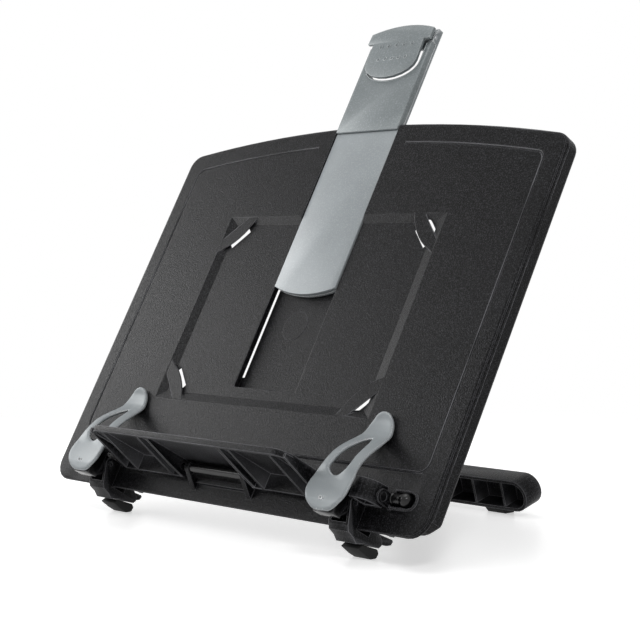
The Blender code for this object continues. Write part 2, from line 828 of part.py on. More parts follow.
def make_top_clip(frame, finish):
    half = clip_plate_half_width
    end_up = clip_plate_top - clip_plate_drop
    outline = tongue_outline(0, clip_plate_bottom)[:-2]
    outline += [(tongue_half_width, clip_plate_bottom), (half, clip_plate_bottom), (half, end_up)]
    steps = arch_steps // 2
    for step in range(1, steps):
        share = 1 - 2 * step / steps
        outline.append((half * share, end_up + clip_plate_drop * (1 - share ** 2)))
    outline += [(-half, end_up), (-half, clip_plate_bottom), (-tongue_half_width, clip_plate_bottom)]
    height = clip_plate_top - tongue_bottom

    def out(up):
        share = min(1, (clip_plate_top - up) / height * 1.6)
        return clip_face_top + (clip_face_bottom - clip_face_top) * share
    rings = [[(x, -out(up) + sink, up) for x, up in outline] for sink in (0, clip_thickness)]
    clip = loft("top_clip", rings, finish)
    barrel_end = arm_half_width - cheek_width - gap
    for side in (-1, 1):
        ends = sorted((side * (top_spring_half_width + gap), side * barrel_end))
        stations = [(place, top_barrel_radius) for place in ends]
        add(clip, turned("barrel", (top_hinge_back, top_hinge_up), stations, "x", small_sides))
        reach = top_barrel_radius / 2
        front = -clip_face_top + clip_thickness / 2
        web = rectangle(front, top_hinge_back, top_hinge_up - reach, top_hinge_up + reach)
        add(clip, prism("web", web, ends[0], ends[1], "x"))
    bore = [(side * arm_half_width, top_pin_radius + running_gap) for side in (-1, 1)]
    cut(clip, turned("bore", (top_hinge_back, top_hinge_up), bore, "x", small_sides))
    return hang(clip, frame, (0, top_hinge_back, top_hinge_up))


def make_top_spring(frame, finish):
    centre = (0, top_hinge_back, top_hinge_up)
    half = top_spring_half_width - top_spring_wire_radius
    spring = coil("top_clip_spring", centre, half, top_spring_coil_radius, top_spring_wire_radius,
                  top_spring_curls, finish)
    spring.parent = frame
    return spring


# An end ear of the ledge, seen from above, drawn in by an inset: its front outer corner is round.
def ear_outline(inset):
    radius = ear_corner_radius
    points = [(ear_inner + inset, -ledge_rear - inset), (ear_inner + inset, -ear_front + inset)]
    points += arc((ear_outer - radius, -ear_front + radius), radius - inset, 270, 360, corner_steps)
    return points + [(ear_outer - inset, -ledge_rear - inset)]


def make_ledge(frame, finish):
    rear = -ledge_rear
    front = -ledge_front
    under = ledge_top - ledge_plate
    half = ledge_half_width
    radius = ledge_corner_radius
    outline = arc((-half + radius, front + radius), radius, 180, 270, corner_steps)
    outline += arc((half - radius, front + radius), radius, 270, 360, corner_steps)
    strip_front = -ledge_strip_front
    strip_rear = -ledge_strip_rear
    ear = ear_outline(0)
    right = [(half, strip_front), (ear_inner, strip_front)] + ear[1:] + [ear[0]]
    right += [(ear_inner, strip_rear), (half, strip_rear), (half, rear)]
    left = [(-x, back) for x, back in right[::-1]]
    ledge = prism("ledge_tray", outline + right + left, under, ledge_top, "z", finish)

    lip_rings = arc((-half + radius, front + radius), radius, 180, 270, corner_steps)
    lip_rings += arc((half - radius, front + radius), radius, 270, 360, corner_steps)
    inner = radius - ledge_lip_width
    lip_inner = arc((half - radius, front + radius), inner, 360, 270, corner_steps)
    lip_inner += arc((-half + radius, front + radius), inner, 270, 180, corner_steps)
    lip = [(-half, -ear_front)] + lip_rings + [(half, -ear_front), (half - ledge_lip_width, -ear_front)]
    lip += lip_inner + [(-half + ledge_lip_width, -ear_front)]
    add(ledge, prism("lip", lip, ledge_top - ledge_lip_height, under + ledge_plate / 2, "z"))

    strip = rectangle(strip_front, strip_rear, ledge_strip_bottom, under + ledge_plate / 2)
    for side in (-1, 1):
        ends = sorted((side * (half - ledge_rib), side * (ear_inner + ear_wall / 2)))
        add(ledge, prism("strip", strip, ends[0], ends[1], "x"))
        ends = sorted((side * ledge_notch_half_width, side * half))
        wall = rectangle(rear - ledge_rear_wall, rear, ledge_rear_bottom, under + ledge_plate / 2)
        add(ledge, prism("rear_wall", wall, ends[0], ends[1], "x"))
        rib_rear = rear - ledge_rear_wall / 2
        rib_front = front + ledge_lip_width
        slope = [(rib_front, ledge_top - ledge_lip_height), (rib_front, under + ledge_plate / 2),
                 (rib_rear, under + ledge_plate / 2)]
        rib = [(rib_rear, ledge_rear_bottom), (rear - ledge_rear_wall, ledge_rear_bottom)] + slope
        cheek = [(rib_rear, ledge_rear_bottom), (-ear_front, ledge_rear_bottom + ledge_plate)] + slope
        for share in ledge_rib_shares:
            place = ledge_notch_half_width + (half - ledge_notch_half_width) * share
            ends = sorted((side * (place - ledge_rib / 2), side * (place + ledge_rib / 2)))
            add(ledge, prism("rib", rib, ends[0], ends[1], "x"))
        ends = sorted((side * ledge_notch_half_width, side * (ledge_notch_half_width + ledge_rib * 1.5)))
        add(ledge, prism("cheek", cheek, ends[0], ends[1], "x"))
        ends = sorted((side * (half - ledge_rib), side * half))
        add(ledge, prism("end_wall", rib, ends[0], ends[1], "x"))
        skirt = [(side * x, back) for x, back in ear_outline(0)]
        add(ledge, prism("skirt", skirt, ear_bottom, under + ledge_plate / 2, "z"))
        room = [(side * x, back) for x, back in ear_outline(ear_wall)]
        cut(ledge, prism("room", room, ear_bottom - overrun, under, "z"))
    axis = (ledge_axis_back, ledge_axis_up)
    for side in (-1, 1):
        ends = [(side * (ledge_notch_half_width - overrun), rod_end_radius + gap),
                (side * (rod_end_reach + gap), rod_end_radius + gap)]
        cut(ledge, turned("bore", axis, ends, "x", round_sides))
        ends = [(side * (ear_inner - overrun), ledge_pin_radius + gap),
                (side * (ear_outer + overrun), ledge_pin_radius + gap)]
        cut(ledge, turned("bore", axis, ends, "x", round_sides))
    return hang(ledge, frame, (0, ledge_axis_back, ledge_axis_up))


def make_ledge_pins(frame, finish):
    axis = (ledge_axis_back, ledge_axis_up)
    step = rod_half_length
    stations = [(-rod_end_reach, rod_end_radius), (-step, rod_end_radius), (-step, rod_radius)]
    stations += [(-place, radius) for place, radius in stations[::-1]]
    origin = (0, ledge_axis_back, ledge_axis_up)
    hang(turned("ledge_rod", axis, stations, "x", round_sides, finish), frame, origin)
    for side, name in ((-1, "ledge_pin_left"), (1, "ledge_pin_right")):
        ends = (side * (ear_inner - ledge_pin_start), side * outer_lug_outer)
        stations = [(place, ledge_pin_radius) for place in ends]
        hang(turned(name, axis, stations, "x", round_sides, finish), frame, origin)


# The round-ended studs that lie in the rimmed slots of the board's face.
def make_end_studs(frame, finish):
    for side, name in ((-1, "end_stud_left"), (1, "end_stud_right")):
        stations = [(side * (outer_lug_outer + gap), stud_radius)]
        for angle in range(0, 76, 15):
            turn = math.radians(angle)
            place = stud_reach - stud_radius + stud_radius * math.sin(turn)
            stations.append((side * place, stud_radius * math.cos(turn)))
        hang(turned(name, (0, stud_up), stations, "x", round_sides, finish), frame)


# The lever's side profile: points (back, up), the unit normal to its front, half width, thickness.
def lever_stations():
    points = []
    for up, out, wide in lever_shares:
        points.append((-out * lever_reach, up * lever_length, wide * lever_half_width))
    stations = []
    for before, (back, up, half), after in zip(points[:1] + points, points, points[1:] + points[-1:]):
        along = Vector((after[0] - before[0], after[1] - before[1])).normalized()
        normal = Vector((-along.y, along.x))
        share = up / lever_length
        thickness = lever_pad_thickness + (lever_tip_thickness - lever_pad_thickness) * share
        stations.append((Vector((back, up)), normal, half, thickness))
    return stations


def make_lever(name, frame, centre, finish):
    rings = []
    for place, normal, half, thickness in lever_stations():
        front = []
        rear = []
        for column in range(lever_columns + 1):
            across = 2 * column / lever_columns - 1
            dish = lever_dish * (1 - across ** 2) * half / lever_half_width
            x = centre + half * across * (1 - lever_crown_share * abs(across))
            for row, depth in ((front, dish), (rear, dish / 2 + thickness)):
                point = place - normal * depth
                row.append((x, point.x, point.y))
        edge = place - normal * thickness / 2
        right = (centre + half, edge.x, edge.y)
        left = (centre - half, edge.x, edge.y)
        rings.append(front + [right] + rear[::-1] + [left])
    lever = loft(name, rings, finish)
    low = hole_bottom + hole_half_width
    opening = arc((centre, low), hole_half_width, 180, 360, small_sides)
    rise = hole_top - hole_bottom
    sides = []
    for share_x, share_up in hole_side_shares:
        sides.append((share_x * hole_half_width, hole_bottom + share_up * rise))
    opening += [(centre + x, up) for x, up in sides] + [(centre, hole_top)]
    opening += [(centre - x, up) for x, up in sides[::-1]]
    cut(lever, prism("opening", opening, -lever_reach - overrun, 0, "y"))
    ends = [(-lever_reach - overrun, pilot_radius), (-lever_reach / 2, pilot_radius)]
    cut(lever, turned("pilot", (centre, pilot_up), ends, "y", 8))
    return hang(lever, frame, (centre, -pivot_out, pivot_up))


# The rocker: the part behind the lever's pad that turns on the pin, and the wide hood before it.
def make_rocker(name, frame, centre, finish):
    pivot = (-pivot_out, pivot_up)
    seat = []
    for place, normal, half, thickness in lever_stations():
        point = place - normal * (thickness + lever_dish / 2 + gap)
        if rocker_bottom < point.y < rocker_top:
            seat.append((point.x, point.y))
    seat = [(seat[0][0], rocker_bottom)] + seat
    outline = [(-rocker_rear_out, rocker_rear_bottom), (-hood_bottom_out, rocker_bottom)] + seat
    outline.append((seat[-1][0] + pivot_boss_radius / 2, rocker_top))
    outline += arc(pivot, pivot_boss_radius, 110, -70, round_sides)
    half = rocker_half_width
    rocker = prism(name, outline, centre - half, centre + half, "x", finish)
    hood = [(-hood_bottom_out, rocker_bottom)] + seat + [(-hood_top_out, rocker_top)]
    add(rocker, prism("hood", hood, centre - hood_half_width, centre + hood_half_width, "x"))
    room = rectangle(-pivot_out - pivot_boss_radius - gap, overrun, pivot_up - pivot_boss_radius - overrun,
                     pivot_up + pivot_boss_radius + overrun)
    room_half = clip_spring_half_width + gap
    cut(rocker, prism("room", room, centre - room_half, centre + room_half, "x"))
    bore = [(centre + side * (half + overrun), clip_pin_radius + running_gap) for side in (-1, 1)]
    cut(rocker, turned("bore", pivot, bore, "x", round_sides))
    return hang(rocker, frame, (centre, -pivot_out, pivot_up))


def shares_of(shares, across, height):
    return [(-share_out * across, share_up * height) for share_out, share_up in shares]


# A place on the table that the stand rests on, as (back, up) on the leaning board.
def on_table(distance):
    back = distance * math.cos(board_lean) + board_lift * math.sin(board_lean)
    up = distance * math.sin(board_lean) - board_lift * math.cos(board_lean)
    return back, up


def make_bracket(name, frame, centre, side, finish):
    pivot = (-pivot_out, pivot_up)
    face = band_depth - gap
    under = -gap
    rear = board_thickness + gap
    outline = [(face, pivot_up + pivot_boss_radius)]
    outline += arc(pivot, pivot_boss_radius, 90, 180, small_sides // 2)
    outline += shares_of(bracket_front_shares, bracket_front, bracket_below)
    outline += shares_of(bracket_rear_shares, -bracket_behind, bracket_below)
    plate = rear + bracket_rear_plate
    outline += [(plate, bracket_rear_shares[-1][1] * bracket_below), (plate, bracket_rear_top)]
    outline += [(rear, bracket_rear_top), (rear, under), (face, under)]
    half = bracket_half_width
    bracket = prism(name, outline, centre - half, centre + half, "x", finish)
    top = pivot_up + pivot_boss_radius + overrun
    room = [(face + overrun, top), (-pivot_out - pivot_boss_radius - overrun, top),
            (-pivot_out - pivot_boss_radius - overrun, rocker_bottom + bracket_cheek / 2)]
    room += shares_of(bracket_room_shares, bracket_front, bracket_below)
    room += [(bracket_cheek / 3, 0), (face + overrun, 0)]
    cut(bracket, prism("room", room, centre - rocker_room, centre + rocker_room, "x"))
    fin = centre + side * fin_offset
    for shares in (lower_fin_shares, upper_fin_shares):
        points = shares_of(shares, -fin_reach, fin_height)
        add(bracket, prism("fin", points, fin - fin_half_width, fin + fin_half_width, "x"))
    bore = [(centre + end * (half + overrun), clip_pin_radius + running_gap) for end in (-1, 1)]
    cut(bracket, turned("bore", pivot, bore, "x", round_sides))
    ends = [(rear - overrun, screw_radius + gap), (rear + bracket_rear_plate + overrun, screw_radius + gap)]
    cut(bracket, turned("screw_hole", (centre, bracket_screw_up), ends, "y", small_sides))
    return hang(bracket, frame)


def make_sole(name, frame, centre, finish):
    outline = shares_of(sole_front_shares, -bracket_behind, bracket_below)
    outline += [on_table(sole_contact_start), on_table(sole_contact_end)]
    outline += shares_of(sole_rear_shares, -bracket_behind, bracket_below)
    outline[0] = (outline[0][0], outline[0][1] - gap)
    outline[-1] = (outline[-1][0], outline[-1][1] - gap)
    return hang(prism(name, outline, centre - sole_half_width, centre + sole_half_width, "x", finish), frame)


def make_clip_pin(name, frame, centre, finish):
    half = bracket_half_width - gap
    stations = [(centre - half, clip_pin_radius), (centre + half, clip_pin_radius)]
    pin = turned(name, (-pivot_out, pivot_up), stations, "x", round_sides, finish)
    return hang(pin, frame, (centre, -pivot_out, pivot_up))


def make_clip_spring(name, frame, centre, finish):
    half = clip_spring_half_width - clip_spring_wire_radius
    place = (centre, -pivot_out, pivot_up)
    spring = coil(name, place, half, clip_spring_coil_radius, clip_spring_wire_radius,
                  clip_spring_curls, finish)
    spring.parent = frame
    return spring


def make_leg_hinge(frame, finish, steel, washer_finish):
    axis = (leg_hinge_back, leg_hinge_up)
    front = board_thickness + gap
    rear = front + hinge_plate
    half = hinge_plate_half_width
    outline = rounded_rectangle(-half, half, leg_hinge_up - hinge_plate_height / 2,
                                leg_hinge_up + hinge_plate_height / 2, screw_head_radius, corner_steps)
    bracket = prism("leg_hinge_bracket", outline, front, rear, "y", finish)
    inner = leg_barrel_half_width + washer_thickness + running_gap * 3
    outer = inner + leg_lug_width
    window = rectangle(-inner, inner, leg_hinge_up - leg_lug_radius, leg_hinge_up + leg_lug_radius)
    cut(bracket, prism("window", window, front - overrun, rear + overrun, "y"))
    for side in (-1, 1):
        ends = sorted((side * inner, side * outer))
        lug = [(front + hinge_plate / 2, leg_hinge_up - leg_lug_radius * 1.5)]
        lug += arc(axis, leg_lug_radius, -45, 45, small_sides)
        lug += [(front + hinge_plate / 2, leg_hinge_up + leg_lug_radius * 1.5)]
        add(bracket, prism("lug", lug, ends[0], ends[1], "x"))
        for x, up in hinge_screw_places():
            stations = ((front - overrun, screw_radius + gap), (rear + overrun, screw_radius + gap))
            cut(bracket, turned("screw_hole", (side * x, up), stations, "y", small_sides))
    bore = [(side * (outer + overrun), leg_pin_radius + running_gap) for side in (-1, 1)]
    cut(bracket, turned("bore", axis, bore, "x", round_sides))
    hang(bracket, frame)

    head = outer + gap
    stations = [(-outer - leg_pin_radius, leg_pin_radius), (head, leg_pin_radius),
                (head, leg_pin_radius * 1.6), (head + leg_pin_radius * 0.6, leg_pin_radius * 1.6),
                (head + leg_pin_radius, leg_pin_radius * 1.1)]
    pin = turned("leg_hinge_pin", axis, stations, "x", round_sides, steel)
    hang(pin, frame, (0, leg_hinge_back, leg_hinge_up))

    for side, word in ((-1, "left"), (1, "right")):
        start = leg_barrel_half_width + running_gap
        places = sorted((side * start, side * (start + washer_thickness)))
        washer = turned("leg_washer_" + word, axis, [(place, washer_radius) for place in places], "x",
                        round_sides, washer_finish)
        hole = leg_pin_radius + running_gap
        cut(washer, turned("bore", axis, [(places[0] - overrun, hole), (places[1] + overrun, hole)], "x",
                           round_sides))
        hang(washer, frame)
        for number, (x, up) in enumerate(hinge_screw_places(), 1):
            make_screw(f"hinge_screw_{word}_{number}", frame, (side * x, up), rear + gap,
                       board_thickness - screw_reach, screw_head_height, steel)


def make_bracket_screw(name, frame, centre, steel):
    seat = board_thickness + bracket_rear_plate + gap * 2
    tip = board_thickness - screw_reach
    make_screw(name, frame, (centre, bracket_screw_up), seat, tip, screw_head_height, steel)


# The leg hangs along -z of its own frame, whose origin lies on the hinge.
def make_leg(frame, finish, rubber, steel):
    half = leg_post_half_width
    depth = leg_post_half_depth
    end = -foot_bar_top + gap
    outline = [(-depth, end), (depth, end), (depth, 0)] + arc((0, 0), leg_barrel_radius, 38, 142, small_sides)
    outline += [(-depth, 0)]
    post = prism("leg_post", outline, -half, half, "x", finish)
    barrel = [(-leg_barrel_half_width, leg_barrel_radius), (leg_barrel_half_width, leg_barrel_radius)]
    add(post, turned("barrel", (0, 0), barrel, "x", round_sides))
    start = -leg_barrel_radius * 2
    span = (start - (end + leg_post_rim)) / leg_post_ribs
    for bay in range(leg_post_ribs):
        top = start - span * bay
        pocket = rectangle(-half + leg_post_rim, half - leg_post_rim, top - span + leg_post_rim / 2,
                           top - leg_post_rim / 2)
        cut(post, prism("pocket", pocket, leg_post_web / 2, depth + overrun, "y"))
        cut(post, prism("pocket", pocket, -depth - overrun, -leg_post_web / 2, "y"))
    tongue_half = leg_tongue_half_width
    tongue = rectangle(-tongue_half, tongue_half, end - leg_tongue_length, end + leg_post_rim / 2)
    add(post, prism("tongue", tongue, -leg_tongue_half_depth, leg_tongue_half_depth, "y"))
    bore = [(side * (half + overrun), leg_pin_radius + running_gap) for side in (-1, 1)]
    cut(post, turned("bore", (0, 0), bore, "x", round_sides))
    for side in (-1, 1):
        hole = ((-depth, screw_radius + gap), (depth, screw_radius + gap))
        place = (side * leg_tongue_half_width / 2, end - leg_tongue_length / 2)
        cut(post, turned("screw_hole", place, hole, "y", small_sides))
    hang(post, frame)

    low = -foot_bar_bottom
    high = -foot_bar_top
    radius = foot_bar_height / 2
    reach = foot_bar_half_width
    thick = foot_bar_half_depth
    outline = rounded_rectangle(-reach, reach, low, high, radius, corner_steps)
    bar = prism("foot_bar", outline, -thick, thick, "y", finish)
    wall = foot_bar_wall
    inner = reach - wall
    room = rounded_rectangle(-inner, inner, low + wall, high - wall, radius - wall, corner_steps)
    cut(bar, prism("room", room, -thick - overrun, thick - wall, "y"))
    for side in (-1, 1):
        for place in foot_bar_rib_places:
            ends = sorted((side * (place - foot_bar_rib / 2), side * (place + foot_bar_rib / 2)))
            rib = rectangle(ends[0], ends[1], low + wall / 2, high - wall / 2)
            add(bar, prism("rib", rib, -thick + wall / 2, thick - wall / 2, "y"))
    block = rectangle(-foot_bar_block, foot_bar_block, low + wall / 2, high - wall / 2)
    add(bar, prism("block", block, -thick + wall / 2, thick - wall / 2, "y"))
    socket_half = leg_tongue_half_width + gap
    socket = rectangle(-socket_half, socket_half, end - leg_tongue_length - gap, high + overrun)
    cut(bar, prism("socket", socket, -leg_tongue_half_depth - gap, leg_tongue_half_depth + gap, "y"))
    for side, word in ((-1, "left"), (1, "right")):
        place = (side * leg_tongue_half_width / 2, end - leg_tongue_length / 2)
        hole = ((0, screw_radius + gap), (thick + overrun, screw_radius + gap))
        cut(bar, turned("screw_hole", place, hole, "y", small_sides))
        make_screw("foot_bar_screw_" + word, frame, place, thick + gap, -leg_tongue_half_depth,
                   screw_head_height, steel)
    hang(bar, frame)

    # Each rubber foot is cut level where it stands on the table
    for side, name in ((-1, "rear_foot_left"), (1, "rear_foot_right")):
        def level(back):
            return -(leg_axis_z + back * math.sin(leg_tilt)) / math.cos(leg_tilt)
        top = low - gap
        outline = [(-rear_foot_half_depth, top), (-rear_foot_contact, level(-rear_foot_contact)),
                   (rear_foot_contact, level(rear_foot_contact)), (rear_foot_half_depth, top)]
        middle = side * rear_foot_centre
        foot = prism(name, outline, middle - rear_foot_half_width, middle + rear_foot_half_width, "x", rubber)
        hang(foot, frame)


# Moves the whole stand so that its origin is under the middle of its box.
def centre_stand(stand):
    bpy.context.view_layer.update()
    reach = []
    for item in bpy.data.objects:
        if item.type == "MESH":
            reach += [(item.matrix_world @ vertex.co).y for vertex in item.data.vertices]
    stand.location.y = -(min(reach) + max(reach)) / 2


def main():
    clear_scene()
    black = material("black_moulded_plastic", (0.028, 0.027, 0.027), 0.48)
    gloss = material("black_smooth_plastic", (0.018, 0.018, 0.018), 0.34)
    frame_finish = material("black_frame_plastic", (0.024, 0.024, 0.024), 0.45)
    silver = material("silver_grey_plastic", (0.36, 0.38, 0.39), 0.38)
    light = material("light_grey_plastic", (0.33, 0.35, 0.37), 0.42)
    dark = material("mid_grey_plastic", (0.22, 0.25, 0.25), 0.42)
    rubber = material("black_rubber", (0.02, 0.02, 0.02), 0.85)
    steel = material("plated_steel", (0.55, 0.55, 0.55), 0.3, 1.0)
    washer = material("fibre_washer", (0.30, 0.12, 0.07), 0.8)

    stand = empty("stand")
    board = empty("board", stand, (0, 0, board_lift), -board_lean)
    make_front_panel(board, black)
    make_rear_frame(board, frame_finish)
    make_arm_guide(board, black)
    make_shell_screws(board, steel)
    make_arm(board, light, dark, silver)
    make_top_clip(board, dark)
    make_top_spring(board, steel)
    make_ledge(board, black)
    make_ledge_pins(board, gloss)
    make_end_studs(board, gloss)
    for side, word in ((-1, "left"), (1, "right")):
        centre = side * clip_centre
        make_bracket("foot_bracket_" + word, board, centre, side, black)
        make_sole("front_sole_" + word, board, centre, rubber)
        make_lever("clip_lever_" + word, board, centre, silver)
        make_rocker("clip_rocker_" + word, board, centre, gloss)
        make_clip_pin("clip_pin_" + word, board, centre, steel)
        make_clip_spring("clip_spring_" + word, board, centre, steel)
        make_bracket_screw("bracket_screw_" + word, board, centre, steel)
    make_leg_hinge(board, black, steel, washer)
    leg = empty("leg", stand, (0, leg_axis_y, leg_axis_z), leg_tilt)
    make_leg(leg, black, rubber, steel)
    centre_stand(stand)


main()
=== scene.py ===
import json
import math

import bpy
from mathutils import Matrix, Vector

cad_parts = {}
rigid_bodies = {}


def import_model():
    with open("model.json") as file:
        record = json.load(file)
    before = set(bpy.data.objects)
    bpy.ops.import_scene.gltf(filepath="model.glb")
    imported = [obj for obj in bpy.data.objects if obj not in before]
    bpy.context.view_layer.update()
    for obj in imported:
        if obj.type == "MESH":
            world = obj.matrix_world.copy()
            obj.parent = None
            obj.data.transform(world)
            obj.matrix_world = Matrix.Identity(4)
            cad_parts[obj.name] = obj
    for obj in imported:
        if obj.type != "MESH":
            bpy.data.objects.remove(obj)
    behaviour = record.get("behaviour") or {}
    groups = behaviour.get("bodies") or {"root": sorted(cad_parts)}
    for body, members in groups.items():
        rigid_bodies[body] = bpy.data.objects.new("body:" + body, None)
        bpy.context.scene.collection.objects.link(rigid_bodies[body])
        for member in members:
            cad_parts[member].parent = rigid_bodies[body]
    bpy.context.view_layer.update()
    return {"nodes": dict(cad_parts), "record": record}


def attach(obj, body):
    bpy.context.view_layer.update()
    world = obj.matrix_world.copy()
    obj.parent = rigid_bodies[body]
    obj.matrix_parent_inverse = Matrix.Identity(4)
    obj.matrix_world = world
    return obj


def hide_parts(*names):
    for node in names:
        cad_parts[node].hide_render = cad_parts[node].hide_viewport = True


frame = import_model()
nodes = frame["nodes"]


def linear(hexColour):  # sRGB hex to the linear colour that a shader takes
    parts = [int(hexColour[i:i + 2], 16) / 255 for i in (1, 3, 5)]
    return tuple(c / 12.92 if c <= 0.04045 else ((c + 0.055) / 1.055) ** 2.4 for c in parts) + (1.0,)


def addNode(tree, kind, settings=None, values=None, links=None):
    node = tree.nodes.new(kind)
    for key, value in (settings or {}).items():
        setattr(node, key, value)
    for key, value in (values or {}).items():
        node.inputs[key].default_value = value
    for key, source in (links or {}).items():
        tree.links.new(source, node.inputs[key])
    return node


# Grain widths and depths are in metres. The real grain is 0.1 to 0.3 mm wide, too fine to show here, so it is
# drawn 0.4 to 1.4 mm wide. sheen is the specular level, edge a paler colour painted along the edges as a
# highlight, and edgeAt the cosine at which that painted highlight is full.
# The paler colour on the grain tops is painted glints of light
mouldedFinishes = {
    # Spark-eroded black ABS: a fine even grain that breaks the sheen up, and a paler highlight painted along the
    # edges
    "boardBlackAbs": {"colour": "#09090a", "edge": "#8a8a8e", "grain": 0.0008, "depth": 0.00030,
                      "roughness": 0.34, "spread": 0.12, "edgeWidth": 0.0006, "metallic": 0.0, "ior": 1.53,
                      "sheen": 0.07, "glintColour": "#363639", "edgeAt": 0.90},
    # The same ABS from a polished part of the mould: bright, sharper reflections and almost no grain
    "polishedBlackAbs": {"colour": "#0a0a0b", "edge": "#5a5a5d", "grain": 0.0014, "depth": 0.000008,
                         "roughness": 0.20, "spread": 0.06, "edgeWidth": 0.0004, "metallic": 0.0, "ior": 1.53,
                         "sheen": 0.3, "glintColour": "#101011", "edgeAt": 0.90},
    # ABS coloured through with aluminium flake: a silky silver grey with bright highlights painted along the
    # edges
    "flakeSilverAbs": {"colour": "#868c8f", "edge": "#f0f2f3", "grain": 0.0007, "depth": 0.000010,
                       "roughness": 0.44, "spread": 0.08, "edgeWidth": 0.0009, "metallic": 0.08, "ior": 1.53,
                       "sheen": 0.35, "glintColour": "#8b9092", "edgeAt": 0.955},
    # Satin grey ABS of the arm's lower cover: an even tone with soft, wide highlights
    "satinGreyAbs": {"colour": "#93999c", "edge": "#a9aeb0", "grain": 0.0009, "depth": 0.000014,
                     "roughness": 0.40, "spread": 0.08, "edgeWidth": 0.0005, "metallic": 0.05, "ior": 1.53,
                     "sheen": 0.3, "glintColour": "#a3a8aa", "edgeAt": 0.90},
    # The same grey with a fine eroded grain, on the arm's upper cover and head: a little darker and drier
    "grainedGreyAbs": {"colour": "#747b7d", "edge": "#c6cbcc", "grain": 0.0010, "depth": 0.00004,
                       "roughness": 0.46, "spread": 0.10, "edgeWidth": 0.0005, "metallic": 0.10, "ior": 1.53,
                       "sheen": 0.4, "glintColour": "#8b9193", "edgeAt": 0.90},
    # Moulded nitrile rubber: matt, deep black
    "soleRubber": {"colour": "#101010", "edge": "#1d1d1d", "grain": 0.0009, "depth": 0.000030,
                   "roughness": 0.72, "spread": 0.08, "edgeWidth": 0.0004, "metallic": 0.0, "ior": 1.52,
                   "sheen": 0.3, "glintColour": "#1c1c1c", "edgeAt": 0.90},
    # Bright zinc on drawn steel wire and cold-headed screws: a cool, clear metal shine
    "zincPlatedSteel": {"colour": "#b9bcc0", "edge": "#d2d4d6", "grain": 0.0004, "depth": 0.000004,
                        "roughness": 0.26, "spread": 0.10, "edgeWidth": 0.0002, "metallic": 1.0, "ior": None,
                        "sheen": 0.5, "glintColour": "#c4c7ca", "edgeAt": 0.90},
    # Pressed vulcanised fibre: warm brown grey and dry
    "fibreSheet": {"colour": "#4a3a30", "edge": "#5f4d40", "grain": 0.0005, "depth": 0.000020,
                   "roughness": 0.78, "spread": 0.08, "edgeWidth": 0.0002, "metallic": 0.0, "ior": 1.5,
                   "sheen": 0.4, "glintColour": "#635246", "edgeAt": 0.90},
}

# What all moulded finishes share: the noise of the grain and of the slow drift, and how each is read
mouldPattern = {
    "grainDetail": 2.0, "grainRoughness": 0.6, "grainFrom": 0.35, "grainTo": 0.65,
    "glintFrom": 0.50, "glintTo": 0.68,
    "driftScale": 22.0, "driftDetail": 3.0, "driftRoughness": 0.55,  # patches of about 45 mm
    "toneFrom": 0.3, "toneTo": 0.7, "toneLow": 0.92, "toneHigh": 1.08,
    # How the painted edge highlight is masked, and how unevenly it is laid
    "edgeSamples": 6, "edgeFrom": 0.993, "highlightFrom": 0.35, "highlightTo": 0.6, "highlightLeast": 0.45,
}


